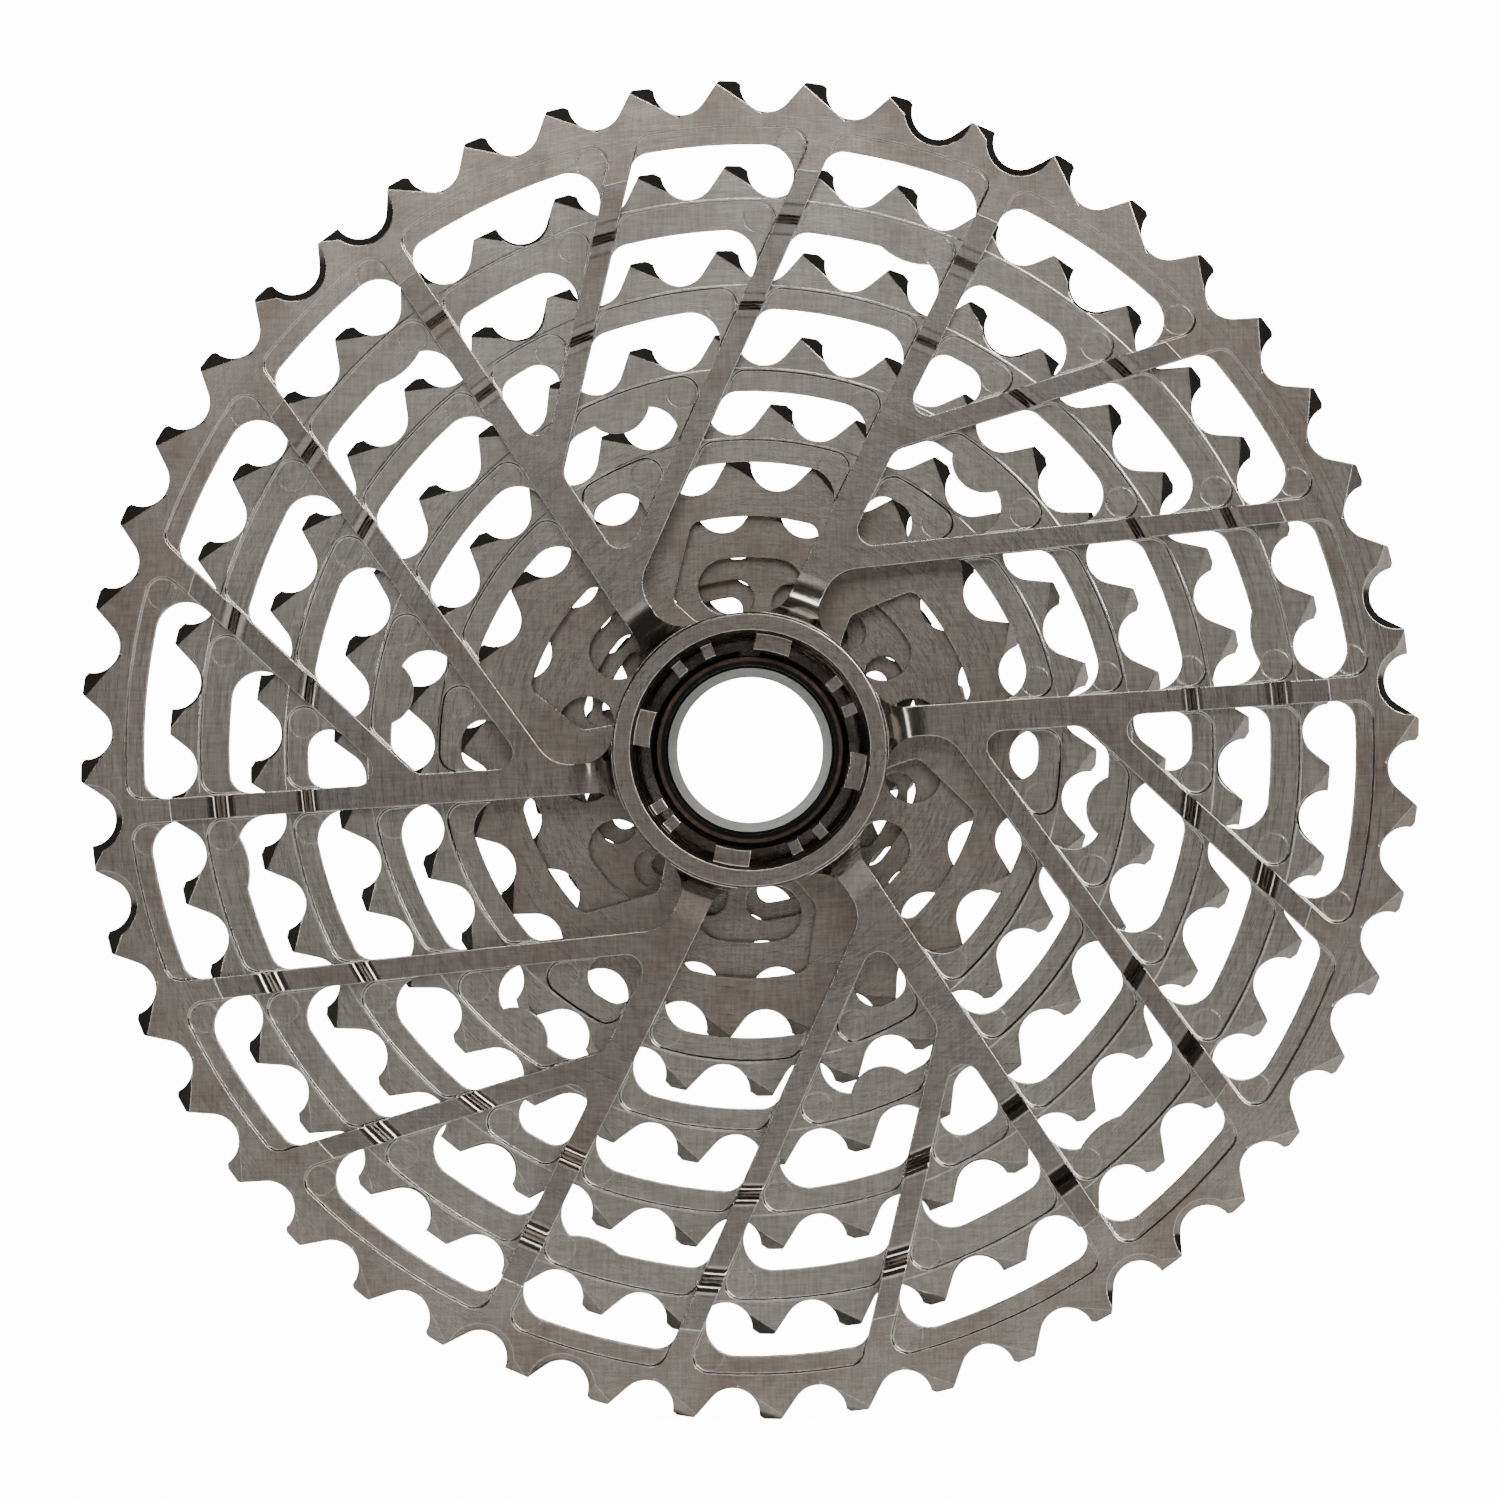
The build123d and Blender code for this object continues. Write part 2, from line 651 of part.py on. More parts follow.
def disc_sprocket(index):
    """Small sprocket on the hub: a disc with its own windows."""
    face = station(rear_of(index))
    bore = NOSE_BORE if index >= NOSE_INDEX else STACK_BORE
    with BuildPart(face) as disc:
        with BuildSketch(face):
            add(toothed_disc(index))
            Circle(bore, mode=Mode.SUBTRACT)
            if index == 5:
                for sector in range(SECTORS):
                    opening = carrier_window(CARRIER_WINDOWS[sector % 2])
                    add(opening.rotate(Axis.Z, -60 * sector), mode=Mode.SUBTRACT)
            if index in KIDNEYS:
                with PolarLocations(0, KIDNEY_COUNT):
                    add(kidney(*KIDNEYS[index]), mode=Mode.SUBTRACT)
            if index <= NOSE_INDEX:
                add(rivet_plan(RIVET_RADIUS), mode=Mode.SUBTRACT)
            if index > NOSE_INDEX:
                add(nose_pin_plan(), mode=Mode.SUBTRACT)
        extrude(amount=-PLATE)
        facet_tips(index)
        if index == NOSE_INDEX:
            with BuildSketch(station(rear_of(index) + PLATE)):
                add(nose_pin_plan())
            extrude(amount=NOSE_PIN_BITE, mode=Mode.SUBTRACT)
    return disc.part


def spacer(index):
    """Ring between one small sprocket and the next."""
    nose = index == NOSE_INDEX
    with BuildPart() as ring:
        with BuildSketch(station(rear_of(index) + PLATE)):
            Circle(NOSE_SPACER_OUTER if nose else SPACER_OUTER)
            Circle(NOSE_BORE if nose else STACK_BORE, mode=Mode.SUBTRACT)
            add(nose_pin_plan() if nose else rivet_plan(RIVET_RADIUS), mode=Mode.SUBTRACT)
        extrude(amount=-(STATION_PITCH - PLATE))
    return ring.part


def rim_pins(index):
    """Blind pins that hold one rim to the spider's arms, driven in from the front."""
    if index == 0:
        start, end = PIN_SHORT_OF_FACE, rear_of(1)
    else:
        start, end = rear_of(index) - PIN_BITE, rear_of(index) + PLATE
    with BuildPart() as pins:
        with BuildSketch(station(start)):
            add(pin_plan(index))
        extrude(amount=start - end)
    return pins.part


def long_rivets():
    """Rivets that clamp the small sprockets and their spacers to the hub."""
    start, end = rear_of(5) - RIVET_BITE, rear_of(NOSE_INDEX) + PLATE
    with BuildPart() as rivets:
        with BuildSketch(station(start)):
            add(rivet_plan(RIVET_RADIUS))
        extrude(amount=start - end)
        with BuildSketch(station(end)):
            add(rivet_plan(RIVET_HEAD_RADIUS))
        extrude(amount=-RIVET_HEAD)
    return rivets.part


def nose_pins():
    """Pins that join the smallest sprocket and its spacer to the one before."""
    start, end = rear_of(NOSE_INDEX) + PLATE - NOSE_PIN_BITE, rear_of(NOSE_INDEX + 1) + PLATE
    with BuildPart() as pins:
        with BuildSketch(station(start)):
            add(nose_pin_plan())
        extrude(amount=start - end)
    return pins.part


def thrust_washer():
    """Washer on the smallest sprocket's face, under the lock tube's flange."""
    with BuildPart() as washer:
        with BuildSketch(station(NOSE_FACE)):
            Circle(FLANGE_RADIUS)
            Circle(NOSE_BORE, mode=Mode.SUBTRACT)
        extrude(amount=-WASHER_THICKNESS)
    return washer.part


def lock_tube():
    """Threaded tube that turns inside the cluster and draws it onto the driver."""
    flange = NOSE_FACE + WASHER_THICKNESS + AXIAL_GAP
    end = flange + FLANGE_THICKNESS
    lip = end - TOOL_SLOT_LENGTH - LIP_THICKNESS
    relief = TUBE_INNER + THREAD_DEPTH
    thread_end = TUBE_START + (THREADS + 1) * THREAD_PITCH
    with BuildPart() as tube:
        with BuildSketch(Plane.XY):
            with BuildLine():
                Polyline(
                    (TUBE_INNER, TUBE_START),
                    (TUBE_OUTER, TUBE_START),
                    (TUBE_OUTER, SNAP_RING_FRONT - SNAP_RING_WIDTH),
                    (TUBE_OUTER - SNAP_GROOVE_DEPTH, SNAP_RING_FRONT - SNAP_RING_WIDTH),
                    (TUBE_OUTER - SNAP_GROOVE_DEPTH, SNAP_RING_FRONT),
                    (TUBE_OUTER, SNAP_RING_FRONT),
                    (TUBE_OUTER, flange),
                    (FLANGE_RADIUS, flange),
                    (FLANGE_RADIUS, end - FLANGE_CHAMFER),
                    (FLANGE_RADIUS - FLANGE_CHAMFER, end),
                    (TOOL_BORE, end),
                    (TOOL_BORE, lip + LIP_THICKNESS),
                    (LIP_BORE, lip + LIP_THICKNESS),
                    (LIP_BORE, lip),
                    (relief, lip),
                    (relief, thread_end),
                    (TUBE_INNER, thread_end),
                    close=True,
                )
            make_face()
            for turn in range(THREADS):
                with Locations((TUBE_INNER, TUBE_START + (turn + 1) * THREAD_PITCH)):
                    Polygon(
                        (0, -THREAD_DEPTH), (THREAD_DEPTH, 0), (0, THREAD_DEPTH),
                        align=None, mode=Mode.SUBTRACT,
                    )
        revolve(axis=Axis.Y)
        with BuildSketch(station(end)):
            with PolarLocations(TOOL_BORE, TOOL_SLOTS):
                Rectangle(2 * TOOL_SLOT_DEPTH, TOOL_SLOT_WIDTH)
        extrude(amount=TOOL_SLOT_LENGTH, mode=Mode.SUBTRACT)
    return tube.part


def snap_ring():
    """Split ring in the lock tube's groove that keeps the tube in the cluster."""
    with BuildPart() as ring:
        with BuildSketch(station(SNAP_RING_FRONT - SNAP_RING_WIDTH)):
            Circle(SNAP_RING_RADIUS)
            Circle(TUBE_OUTER - SNAP_GROOVE_DEPTH, mode=Mode.SUBTRACT)
            with Locations((0, SNAP_RING_RADIUS)):
                Rectangle(SNAP_RING_SPLIT, SNAP_RING_RADIUS, mode=Mode.SUBTRACT)
        extrude(amount=-SNAP_RING_WIDTH)
    return ring.part


# ---------------------------------------------------------------- build
os.makedirs("parts", exist_ok=True)
spider_plan = spider_outline(tongue_end() + ARM_RUN_OUT)
whole_spider = stepped_spider(spider_plan)
save(hub_of(whole_spider), "spider_hub")
for number, trunk in enumerate(arms_of(whole_spider), start=1):
    with BuildPart() as spider_arm:
        add(trunk)
    save(spider_arm.part, f"spider_arm_{number}")
for number in RIMS:
    save(rim_sprocket(number, spider_plan), name_of(number))
    save(rim_pins(number), f"pins_{TEETH[number]}t")
for number in DISCS:
    save(disc_sprocket(number), name_of(number))
for number in DISCS[:-1]:
    save(spacer(number), f"spacer_{TEETH[number]}t_{TEETH[number + 1]}t")
save(long_rivets(), "stack_rivets")
save(nose_pins(), "nose_pins")
save(thrust_washer(), "thrust_washer")
save(lock_tube(), "lock_tube")
save(snap_ring(), "snap_ring")
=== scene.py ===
"""Looks of an eleven-speed bicycle cassette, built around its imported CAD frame.

The cassette's axis is Y. The rear face is at y = 0 and the camera looks along +Y, so that the
largest sprocket is the nearest. All sizes are in metres.
"""

import json
import logging
import math
from dataclasses import dataclass
from enum import Enum

import bpy
from mathutils import Matrix, Vector


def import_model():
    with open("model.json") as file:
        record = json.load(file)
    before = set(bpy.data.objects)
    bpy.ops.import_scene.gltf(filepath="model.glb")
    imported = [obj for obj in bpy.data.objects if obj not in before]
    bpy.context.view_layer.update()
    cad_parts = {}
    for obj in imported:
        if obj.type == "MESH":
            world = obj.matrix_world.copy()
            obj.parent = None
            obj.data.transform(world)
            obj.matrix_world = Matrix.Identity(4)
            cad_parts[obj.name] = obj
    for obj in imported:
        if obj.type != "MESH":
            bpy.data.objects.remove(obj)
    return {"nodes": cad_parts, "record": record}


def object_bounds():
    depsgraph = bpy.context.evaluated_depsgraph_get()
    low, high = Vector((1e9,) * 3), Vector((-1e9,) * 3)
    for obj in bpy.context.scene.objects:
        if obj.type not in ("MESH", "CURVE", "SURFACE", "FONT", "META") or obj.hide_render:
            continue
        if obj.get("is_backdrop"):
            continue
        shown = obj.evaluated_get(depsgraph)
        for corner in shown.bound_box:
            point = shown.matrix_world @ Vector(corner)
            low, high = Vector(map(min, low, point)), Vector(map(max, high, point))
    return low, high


LOG = logging.getLogger("cassette")
MM = 0.001

Material = bpy.types.Material
NodeTree = bpy.types.NodeTree
Node = bpy.types.Node
Socket = bpy.types.NodeSocket
Rgba = tuple[float, float, float, float]

# The part of a noise's range that holds nearly all of its values.
NOISE_LOW = 0.3
NOISE_HIGH = 0.7
# Noise cells in a metre of depth, where a noise runs round the axis.
DEPTH_CELLS = 200.0
# How much finer the blots of a stain are than its clouds.
BLOT_FINENESS = 3.1
# Factors of the plate's tone in its clouds, in its turned lines and in its grain.
CLOUD_SHADE = 0.86
LINE_LIGHT = 1.35
SPECKLE = (0.86, 1.15)
# Share of the turned lines in the plate's colour.
LINE_SHARE = 0.22
# How far the clouds and the turned lines move the plate's roughness, down and up.
CLOUD_SHEEN = (-0.03, 0.05)
LINE_SHEEN = (-0.05, 0.06)
# Cosines between a face and the axis: a slope below the first, square to the axis above the second.
SLOPE_COSINE = 0.93
SQUARE_COSINE = 0.995
# Cosine above which a face of the tube counts as its end.
END_COSINE = 0.7
# Cosines between the rounded and the real normal: no painted edge highlight above the first, the
# full painted highlight below the second.
HIGHLIGHT_START_COSINE = 0.985
HIGHLIGHT_FULL_COSINE = 0.80
BEVEL_SAMPLES = 6
GRAIN_HEIGHT = 0.04 * MM
RING_HEIGHT = 0.03 * MM
WHITE = (1.0, 1.0, 1.0, 1.0)
PAPER_WHITE = (0.9, 0.9, 0.9, 1.0)


class Tone(Enum):
    """The colours that nickel-plated steel and its neighbours take."""

    WARM = (0.290, 0.261, 0.230)
    SPIDER = (0.220, 0.202, 0.182)
    NEUTRAL = (0.290, 0.271, 0.240)
    SHADED = (0.262, 0.234, 0.205)
    DEEP = (0.150, 0.124, 0.106)
    RUSSET = (0.150, 0.103, 0.080)
    BRONZE = (0.060, 0.042, 0.034)
    # Near white painted onto the far lip of the lock tube as a painted highlight.
    LIP_HIGHLIGHT = (0.800, 0.800, 0.760)
    BLACK = (0.012, 0.012, 0.013)
    BLOOM = (0.055, 0.054, 0.052)
    PIN = (0.330, 0.320, 0.310)
    # Near white painted onto the edges of the plate as a painted highlight.
    EDGE_HIGHLIGHT = (0.900, 0.890, 0.860)

    def rgba(self, factor: float = 1.0) -> Rgba:
        """Give the tone times a factor, with an alpha of one."""
        return (*(factor * channel for channel in self.value), 1.0)


# ------------------------------------------------------------------ node helpers
@dataclass
class Wiring:
    """Short hand for adding and joining shader nodes in one tree."""

    tree: NodeTree

    def add(self, kind: str, **settings: object) -> Node:
        """Add a node and set its properties.

        Args:
            kind: Blender's type name of the node, without its ShaderNode prefix.
            settings: Properties of the node.

        Returns:
            The new node.
        """
        node = self.tree.nodes.new("ShaderNode" + kind)
        for name, value in settings.items():
            setattr(node, name, value)
        return node

    def put(self, socket: Socket, value: object) -> None:
        """Link an output to an input, or set the input to a constant."""
        if isinstance(value, Socket):
            self.tree.links.new(value, socket)
        else:
            socket.default_value = value

    def feed(self, node: Node, **values: object) -> None:
        """Set or link a node's inputs.

        Args:
            node: The node that takes the values.
            values: A number, a colour or an output socket for each input. An input goes by its
                name, with _ for a space, or by its place, as in i0.
        """
        for name, value in values.items():
            key = int(name[1:]) if name[1:].isdigit() else name.replace("_", " ")
            self.put(node.inputs[key], value)

    def math(self, operation: str, first: object, second: object = 0.0) -> Socket:
        """Join two numbers with a Math node and return its output."""
        node = self.add("Math", operation=operation)
        self.feed(node, i0=first, i1=second)
        return node.outputs[0]

    def ramp(self, value: Socket, low: float, high: float, start: float, end: float) -> Socket:
        """Map a number from one range to another, held at both ends."""
        node = self.add("MapRange", clamp=True)
        self.feed(node, i0=value, i1=low, i2=high, i3=start, i4=end)
        return node.outputs[0]

    def spread(self, noise: Socket, start: float, end: float) -> Socket:
        """Map the usual range of a noise to another range."""
        return self.ramp(noise, NOISE_LOW, NOISE_HIGH, start, end)

    def mix(self, share: object, first: object, second: object) -> Socket:
        """Blend two colours and return the result."""
        node = self.add("Mix", data_type="RGBA")
        enabled = {socket.name: socket for socket in node.inputs if socket.enabled}
        for name, value in (("Factor", share), ("A", first), ("B", second)):
            self.put(enabled[name], value)
        return next(socket for socket in node.outputs if socket.enabled)

    def place(self) -> Socket:
        """Give the place on the surface, in the piece's own frame."""
        return self.add("TexCoord").outputs["Object"]

    def split(self, vector: Socket) -> list[Socket]:
        """Take a vector apart into X, Y and Z."""
        node = self.add("SeparateXYZ")
        self.feed(node, Vector=vector)
        return list(node.outputs)

    def radius(self, x: Socket, z: Socket) -> Socket:
        """Give the distance from the cassette's axis."""
        squares = [self.math("MULTIPLY", side, side) for side in (x, z)]
        return self.math("SQRT", self.math("ADD", *squares))

    def along_axis(self, normal: Socket) -> Socket:
        """Give the cosine between a normal and the cassette's axis, without its sign."""
        return self.math("ABSOLUTE", self.split(normal)[1])

    def noise(self, vector: Socket, **values: object) -> Socket:
        """Add a noise and return its value."""
        node = self.add("TexNoise")
        self.feed(node, Vector=vector, **values)
        return node.outputs[0]

    def group(self, tree: NodeTree, **values: object) -> Node:
        """Add a node group and set its inputs."""
        node = self.add("Group", node_tree=tree)
        self.feed(node, **values)
        return node

    def rounded(self, radius: float) -> Socket:
        """Give a normal that runs round the edges of the piece."""
        node = self.add("Bevel", samples=BEVEL_SAMPLES)
        self.feed(node, Radius=radius)
        return node.outputs[0]

    def bump(
        self, height: Socket, strength: float, depth: float, normal: Socket | None = None
    ) -> Socket:
        """Disturb a normal with a height.

        Args:
            height: The height.
            strength: Share of the effect, from 0 to 1.
            depth: What a height of one stands for, in metres.
            normal: The normal to disturb, if it isn't the surface's own.

        Returns:
            The new normal.
        """
        node = self.add("Bump")
        self.feed(node, Strength=strength, Distance=depth, Height=height)
        if normal is not None:
            self.put(node.inputs["Normal"], normal)
        return node.outputs[0]


@dataclass
class GroupDraft:
    """A shader node group while its nodes are being added."""

    wires: Wiring
    source: Node
    result: Node

    @classmethod
    def start(
        cls, name: str, inputs: dict[str, float], outputs: tuple[str, ...]
    ) -> "GroupDraft":
        """Start a shader node group of numbers.

        Args:
            name: The group's name.
            inputs: Inputs and their defaults.
            outputs: Names of the outputs.

        Returns:
            The draft of the group.
        """
        tree = bpy.data.node_groups.new(name, "ShaderNodeTree")
        kind = "NodeSocketFloat"
        for label, default in inputs.items():
            socket = tree.interface.new_socket(label, in_out="INPUT", socket_type=kind)
            socket.default_value = default
        for label in outputs:
            tree.interface.new_socket(label, in_out="OUTPUT", socket_type=kind)
        source, result = (tree.nodes.new("NodeGroup" + end) for end in ("Input", "Output"))
        return cls(Wiring(tree), source, result)

    def finish(self, **values: Socket) -> NodeTree:
        """Link the group's outputs and return the group."""
        self.wires.feed(self.result, **values)
        return self.wires.tree


def start_material(name: str) -> tuple[Material, Wiring, Node]:
    """Start a material and return it with its wiring helper and its shader."""
    material = bpy.data.materials.new(name)
    material.use_nodes = True
    tree = material.node_tree
    return material, Wiring(tree), tree.nodes["Principled BSDF"]


# ------------------------------------------------------------------ shared effects
def polar_vector(wires: Wiring, along_radius: Socket | float, along_angle: Socket | float) -> Socket:
    """Build a vector from the radius and the angle about the cassette's axis.

    Args:
        wires: The tree to build in.
        along_radius: How many noise cells a metre of radius takes.
        along_angle: How many noise cells a radian takes.

    Returns:
        The vector, X for the radius, Y for the angle and Z for the depth.
    """
    x, y, z = wires.split(wires.place())
    joined = wires.add("CombineXYZ")
    wires.feed(
        joined,
        X=wires.math("MULTIPLY", wires.radius(x, z), along_radius),
        Y=wires.math("MULTIPLY", wires.math("ARCTAN2", x, z), along_angle),
        Z=wires.math("MULTIPLY", y, DEPTH_CELLS),
    )
    return joined.outputs[0]


def build_turned_marks() -> NodeTree:
    """Fine rings left by the lathe, as a height and a mask."""
    draft = GroupDraft.start("turned_marks", {"Rings": 2600.0, "Arc": 9.0}, ("Height", "Mask"))
    wires, given = draft.wires, draft.source.outputs
    rings = polar_vector(wires, given["Rings"], given["Arc"])
    height = wires.noise(rings, Scale=1.0, Detail=3.0, Roughness=0.65)
    bands = polar_vector(wires, along_radius=420.0, along_angle=3.0)
    broad = wires.noise(bands, Scale=1.0, Detail=2.0, Roughness=0.5)
    lines = wires.ramp(height, 0.32, 0.68, 0.0, 1.0)
    mask = wires.math("MULTIPLY", lines, wires.spread(broad, 0.45, 1.0))
    return draft.finish(Height=height, Mask=mask)


def build_patina() -> NodeTree:
    """Cloudy stains of handled nickel plate, as two masks."""
    draft = GroupDraft.start("patina", {"Scale": 60.0, "Amount": 0.5}, ("Stain", "Cloud"))
    wires, given = draft.wires, draft.source.outputs
    place = wires.place()
    cloud = wires.noise(place, Scale=given["Scale"], Detail=4.0, Roughness=0.6, Distortion=0.4)
    fine = wires.math("MULTIPLY", given["Scale"], BLOT_FINENESS)
    blot = wires.noise(place, Scale=fine, Detail=6.0, Roughness=0.7, Distortion=1.2)
    clouded = wires.ramp(cloud, 0.42, 0.68, 0.0, 1.0)
    stain = wires.math("MULTIPLY", clouded, wires.ramp(blot, 0.35, 0.7, 0.2, 1.0))
    return draft.finish(Stain=wires.math("MULTIPLY", stain, given["Amount"]), Cloud=cloud)


def build_fine_grain() -> NodeTree:
    """Crossed polishing scratches and plating grain, as a height."""
    draft = GroupDraft.start("fine_grain", {"Scale": 2800.0}, ("Height",))
    wires, given = draft.wires, draft.source.outputs
    place = wires.place()
    heights = []
    for stretch in ((1.0, 0.3, 0.10), (0.10, 0.3, 1.0)):
        drawn = wires.add("Mapping")
        wires.feed(drawn, Vector=place, Scale=stretch)
        scratches = wires.noise(drawn.outputs[0], Scale=given["Scale"], Detail=2.0, Roughness=0.6)
        heights.append(scratches)
    return draft.finish(Height=wires.math("ADD", *heights))


@dataclass
class Effects:
    """The node groups that several finishes share."""

    turned_marks: NodeTree
    patina: NodeTree
    fine_grain: NodeTree

    @classmethod
    def build(cls) -> "Effects":
        """Build every shared group once."""
        return cls(build_turned_marks(), build_patina(), build_fine_grain())


# ------------------------------------------------------------------ finishes
@dataclass(frozen=True)
class PlatedSteel:
    """Satin nickel plate over turned steel, with stains, polished slopes and a painted highlight on
    its edges.
    """

    name: str
    tone: Tone
    stain: Tone
    stain_amount: float
    roughness: float
    slope_roughness: float = 0.14
    edge: float = 0.28 * MM
    edge_highlight: float = 0.8
    rings: float = 2600.0
    ring_strength: float = 0.15
    grain_strength: float = 0.05
    patina_scale: float = 60.0

    def colour(self, wires: Wiring, marks: Node, patina: Node) -> Socket:
        """Build the colour of the plate before its painted edge highlight.

        Args:
            wires: The material's wiring helper.
            marks: Its turned marks.
            patina: Its clouds and stains.

        Returns:
            The colour.
        """
        clouds = wires.spread(patina.outputs["Cloud"], 0.0, 1.0)
        base = wires.mix(clouds, self.tone.rgba(), self.tone.rgba(CLOUD_SHADE))
        stained = wires.mix(patina.outputs["Stain"], base, self.stain.rgba())
        lines = wires.math("MULTIPLY", marks.outputs["Mask"], LINE_SHARE)
        return wires.mix(lines, stained, self.tone.rgba(LINE_LIGHT))

    def sheen(self, wires: Wiring, marks: Node, patina: Node, normal: Socket) -> Socket:
        """Build the roughness: satin where a face is square to the axis, polished on slopes.

        Args:
            wires: The material's wiring helper.
            marks: Its turned marks.
            patina: Its clouds and stains.
            normal: The normal of the face itself.

        Returns:
            The roughness.
        """
        lines = wires.spread(marks.outputs["Height"], *LINE_SHEEN)
        limits = (self.roughness + step for step in CLOUD_SHEEN)
        satin = wires.math("ADD", lines, wires.spread(patina.outputs["Cloud"], *limits))
        flat = wires.ramp(wires.along_axis(normal), SLOPE_COSINE, SQUARE_COSINE, 0.0, 1.0)
        sloped = wires.math("SUBTRACT", 1.0, flat)
        polished = wires.math("MULTIPLY", sloped, self.slope_roughness)
        return wires.math("ADD", wires.math("MULTIPLY", satin, flat), polished)

    def build(self, effects: Effects) -> Material:
        """Build the material.

        Args:
            effects: The shared node groups.

        Returns:
            The finished material.
        """
        material, wires, shader = start_material(self.name)
        marks = wires.group(effects.turned_marks, Rings=self.rings)
        patina = wires.group(effects.patina, Scale=self.patina_scale, Amount=self.stain_amount)
        grain = wires.group(effects.fine_grain).outputs["Height"]
        geometry = wires.add("NewGeometry").outputs
        edge = wires.rounded(self.edge)
        # Painted highlight: the colour is lightened towards near white where the rounded normal
        # turns from the real one, so every edge looks bright whatever the lamps.
        turn = wires.add("VectorMath", operation="DOT_PRODUCT")
        wires.feed(turn, i0=edge, i1=geometry["Normal"])
        highlight_share = wires.ramp(
            turn.outputs["Value"], HIGHLIGHT_START_COSINE, HIGHLIGHT_FULL_COSINE, 0.0, self.edge_highlight)
        edge_highlighted = wires.mix(highlight_share, self.colour(wires, marks, patina), Tone.EDGE_HIGHLIGHT.rgba())
        speckled = wires.add("VectorMath", operation="SCALE")
        wires.feed(speckled, i0=edge_highlighted, Scale=wires.ramp(grain, 0.78, 1.22, *SPECKLE))
        fine = wires.bump(grain, self.grain_strength, GRAIN_HEIGHT, edge)
        wires.feed(
            shader,
            Base_Color=speckled.outputs[0],
            Metallic=1.0,
            Roughness=self.sheen(wires, marks, patina, geometry["True Normal"]),
            Normal=wires.bump(marks.outputs["Height"], self.ring_strength, RING_HEIGHT, fine),
        )
        return material


@dataclass(frozen=True)
class AnodisedTube:
    """Anodised aluminium tube: bronze outer end edge, walls painted near black as painted shade and
    a far lip painted near white as a painted highlight.
    """

    name: str
    end_depth: float
    lip_depth: float
    lip_radius: float
    rust_radius: float
    rust_fade: float = 0.2 * MM
    edge: float = 0.15 * MM
    rings: float = 3400.0
    ring_strength: float = 0.4
    patina_scale: float = 120.0
    stain_amount: float = 0.5
    roughness: tuple[float, float] = (0.30, 0.42)

    def build(self, effects: Effects) -> Material:
        """Build the material.

        Args:
            effects: The shared node groups.

        Returns:
            The finished material.
        """
        material, wires, shader = start_material(self.name)
        marks = wires.group(effects.turned_marks, Rings=self.rings)
        patina = wires.group(effects.patina, Scale=self.patina_scale, Amount=self.stain_amount)
        x, y, z = wires.split(wires.place())
        radius = wires.radius(x, z)
        cosine = wires.along_axis(wires.add("NewGeometry").outputs["True Normal"])
        face = wires.math("GREATER_THAN", cosine, END_COSINE)
        end = wires.math("MULTIPLY", face, wires.math("LESS_THAN", y, self.end_depth))
        rim = wires.ramp(radius, self.rust_radius, self.rust_radius + self.rust_fade, 0.0, 1.0)
        # Painted highlight: past the lip depth and inside the lip radius the tube is coloured near
        # white for the lit flange face.
        beyond = wires.math("GREATER_THAN", y, self.lip_depth)
        lit_lip = wires.math("MULTIPLY", beyond, wires.math("LESS_THAN", radius, self.lip_radius))
        # Painted shade: the tube's walls are coloured near black for the deep bore in shadow, with
        # bronze blots of stain.
        shaded_wall = wires.mix(patina.outputs["Stain"], Tone.BLACK.rgba(), Tone.BRONZE.rgba())
        rust = wires.mix(marks.outputs["Mask"], Tone.BRONZE.rgba(), Tone.RUSSET.rgba())
        ended = wires.mix(wires.math("MULTIPLY", end, rim), shaded_wall, rust)
        edge = wires.rounded(self.edge)
        wires.feed(
            shader,
            Base_Color=wires.mix(lit_lip, ended, Tone.LIP_HIGHLIGHT.rgba()),
            Metallic=1.0,
            Roughness=wires.spread(marks.outputs["Height"], *self.roughness),
            Normal=wires.bump(marks.outputs["Height"], self.ring_strength, RING_HEIGHT, edge),
        )
        return material


@dataclass(frozen=True)
class DullPolymer:
    """Moulded black polymer with a fine grain and a rubbed, slightly paler bloom."""

    name: str
    grain_scale: float = 2400.0
    grain_strength: float = 0.3
    patina_scale: float = 150.0
    stain_amount: float = 0.8
    roughness: tuple[float, float] = (0.48, 0.62)

    def build(self, effects: Effects) -> Material:
        """Build the material.

        Args:
            effects: The shared node groups.

        Returns:
            The finished material.
        """
        material, wires, shader = start_material(self.name)
        patina = wires.group(effects.patina, Scale=self.patina_scale, Amount=self.stain_amount)
        grain = wires.group(effects.fine_grain, Scale=self.grain_scale).outputs["Height"]
        wires.feed(
            shader,
            Base_Color=wires.mix(
                patina.outputs["Stain"], Tone.BLACK.rgba(), Tone.BLOOM.rgba()),
            Roughness=wires.spread(patina.outputs["Cloud"], *self.roughness),
            Normal=wires.bump(grain, self.grain_strength, GRAIN_HEIGHT),
        )
        return material


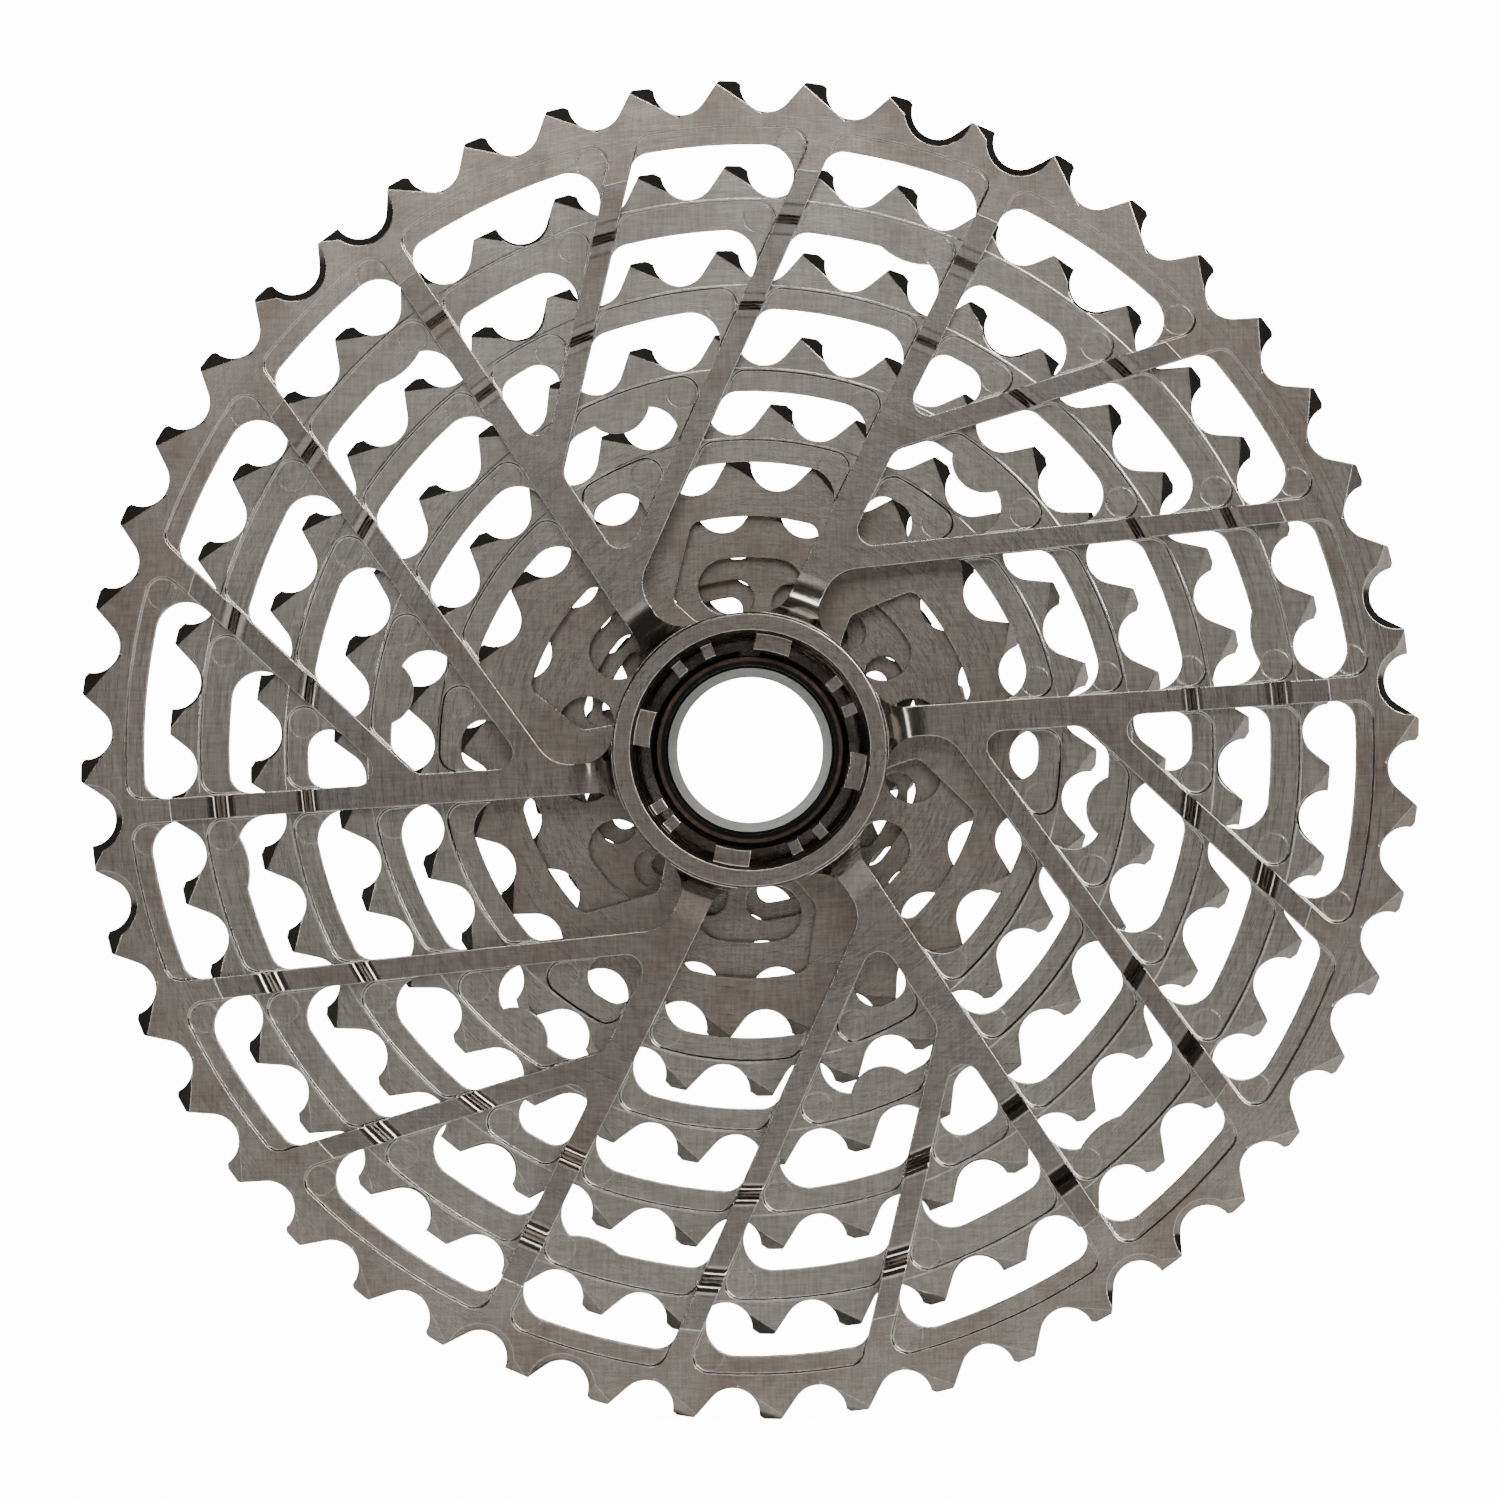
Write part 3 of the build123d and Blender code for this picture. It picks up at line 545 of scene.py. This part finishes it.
FINISH_OF_SLOT = {
    "spider_steel": PlatedSteel("spider_plate", Tone.SPIDER, Tone.RUSSET, 0.75, 0.28),
    "large_rim_steel": PlatedSteel("large_rim_plate", Tone.WARM, Tone.RUSSET, 0.9, 0.28),
    "rim_steel": PlatedSteel("rim_plate", Tone.NEUTRAL, Tone.DEEP, 0.4, 0.28),
    "small_sprocket_steel": PlatedSteel(
        "small_sprocket_plate", Tone.SHADED, Tone.RUSSET, 0.7, 0.28),
    "spacer_steel": PlatedSteel("spacer_plate", Tone.NEUTRAL, Tone.DEEP, 0.4, 0.36),
    "pin_steel": PlatedSteel("pin_steel", Tone.PIN, Tone.DEEP, 0.2, 0.25),
    "lock_tube_aluminium": AnodisedTube(
        "bronze_anodise", 15.3 * MM, 37.0 * MM, 12.4 * MM, 13.1 * MM),
    "washer_polymer": DullPolymer("dull_polymer"),
    "spring_steel": PlatedSteel("oiled_spring", Tone.BLACK, Tone.DEEP, 0.4, 0.40),
}


def dress(frame: dict) -> None:
    """Give every CAD node the finish of its material slot."""
    effects = Effects.build()
    materials = {slot: finish.build(effects) for slot, finish in FINISH_OF_SLOT.items()}
    for entry in frame["record"]["subparts"]:
        piece = frame["nodes"][entry["node"]]
        material = materials[entry["material_slot"]]
        for slot in piece.material_slots:
            slot.material = material
        LOG.info("dressed %s with %s", piece.name, material.name)


# ------------------------------------------------------------------ studio
@dataclass(frozen=True)
class Softbox:
    """One soft rectangular lamp that faces the cassette.

    Its bearing runs clockwise from the top and off_axis is measured from the cassette's axis,
    both in degrees. Its size is across and along that slant, and its power is in watts.
    """

    name: str
    bearing: float
    off_axis: float
    distance: float
    size: tuple[float, float]
    power: float

    def add(self) -> None:
        """Add the lamp to the scene."""
        data = bpy.data.lights.new(self.name, "AREA")
        data.shape = "RECTANGLE"
        data.size, data.size_y = self.size
        data.energy = self.power
        off_axis, bearing = math.radians(self.off_axis), math.radians(self.bearing)
        aside = math.sin(off_axis)
        place = self.distance * Vector(
            (aside * math.sin(bearing), -math.cos(off_axis), aside * math.cos(bearing)))
        outward = place.normalized()
        sideways = Vector((math.cos(bearing), 0.0, -math.sin(bearing)))
        facing = Matrix((sideways, outward.cross(sideways), outward)).transposed()
        lamp = bpy.data.objects.new(self.name, data)
        lamp.location = place
        lamp.rotation_euler = facing.to_euler()
        bpy.context.scene.collection.objects.link(lamp)


SOFTBOXES = (
    Softbox("main_box", 352.0, 15.0, 1.9, (0.6, 0.5), 3.2),
    Softbox("top_strip", 5.0, 66.0, 0.9, (0.75, 0.10), 4.0),
    Softbox("upper_right_box", 48.0, 60.0, 0.9, (0.60, 0.18), 8.0),
    Softbox("right_strip", 97.0, 68.0, 0.9, (0.75, 0.08), 2.8),
    Softbox("low_right_box", 138.0, 56.0, 0.9, (0.28, 0.14), 1.7),
    Softbox("left_strip", 275.0, 62.0, 0.9, (0.6, 0.05), 1.4),
)


@dataclass
class Studio:
    """Pale floor and backdrop, soft lights and the camera, about the cassette's box."""

    low: Vector
    high: Vector
    camera_distance: float = 1.0
    view_width: float = 0.2188
    paper_reach: float = 4.0
    paper_steps: int = 60
    paper_glow: float = 14.0
    dim_fill: float = 0.08
    sensor: float = 36.0

    def place_camera(self) -> None:
        """Put the camera on the cassette's axis, behind the rear face."""
        data = bpy.data.cameras.new("camera")
        data.sensor_width = self.sensor
        data.lens = self.sensor * self.camera_distance / self.view_width
        camera = bpy.data.objects.new("camera", data)
        camera.location = (0.0, -self.camera_distance, 0.0)
        camera.rotation_euler = (math.radians(90), 0.0, 0.0)
        bpy.context.scene.collection.objects.link(camera)
        bpy.context.scene.camera = camera

    def seen_glow(self, wires: Wiring) -> Socket:
        """Build the strength of a glow that only the camera sees."""
        seen = wires.add("LightPath").outputs["Is Camera Ray"]
        return wires.math("MULTIPLY", seen, self.paper_glow)

    def paper(self) -> Material:
        """Build the paper's white."""
        material, wires, shader = start_material("white_paper")
        wires.feed(
            shader,
            Base_Color=PAPER_WHITE,
            Roughness=0.9,
            Emission_Color=WHITE,
            Emission_Strength=self.seen_glow(wires),
        )
        return material

    def paper_point(self, side: float, share: float) -> Vector:
        """Find a point of the paper: flat floor, a quarter turn, then an upright sheet.

        Args:
            side: Place across the paper, from -1 to 1.
            share: Share of the way along it, from 0 at its front edge to 1 at its top.

        Returns:
            The point, in metres.
        """
        bend = 0.5 * self.paper_reach
        bend_start = self.high.y + bend
        floor_run, turn_run = bend_start + self.paper_reach, bend * math.pi / 2
        way = share * (floor_run + turn_run + bend)
        turn = min(max((way - floor_run) / bend, 0.0), math.pi / 2)
        upright = max(way - floor_run - turn_run, 0.0)
        y = -self.paper_reach + min(way, floor_run) + bend * math.sin(turn)
        z = self.low.z + bend * (1.0 - math.cos(turn)) + upright
        return Vector((side * self.paper_reach, y, z))

    def place_backdrop(self) -> None:
        """Add the floor and, behind the cassette, the sheet it curves up into."""
        bpy.ops.object.select_all(action="DESELECT")
        bpy.ops.mesh.primitive_grid_add(x_subdivisions=1, y_subdivisions=self.paper_steps, size=2.0)
        sweep = bpy.context.object
        sweep.name = "paper_sweep"
        for vertex in sweep.data.vertices:
            vertex.co = self.paper_point(vertex.co.x, (vertex.co.y + 1.0) / 2.0)
        bpy.ops.object.shade_smooth()
        sweep.data.materials.append(self.paper())
        sweep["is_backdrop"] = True

    def place_lights(self) -> None:
        """Add the world's dim fill and the softboxes."""
        world = bpy.data.worlds.new("studio_air")
        world.use_nodes = True
        wires = Wiring(world.node_tree)
        strength = wires.math("ADD", self.seen_glow(wires), self.dim_fill)
        wires.feed(world.node_tree.nodes["Background"], Color=WHITE, Strength=strength)
        bpy.context.scene.world = world
        for lamp in SOFTBOXES:
            lamp.add()


def main() -> None:
    """Build the looks in order."""
    logging.basicConfig(level=logging.INFO, format="%(message)s")
    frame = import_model()
    cad_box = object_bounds()
    studio = Studio(*(Vector(corner) for corner in cad_box))
    studio.place_camera()
    studio.place_backdrop()
    studio.place_lights()
    dress(frame)


if __name__ == "__main__":
    main()
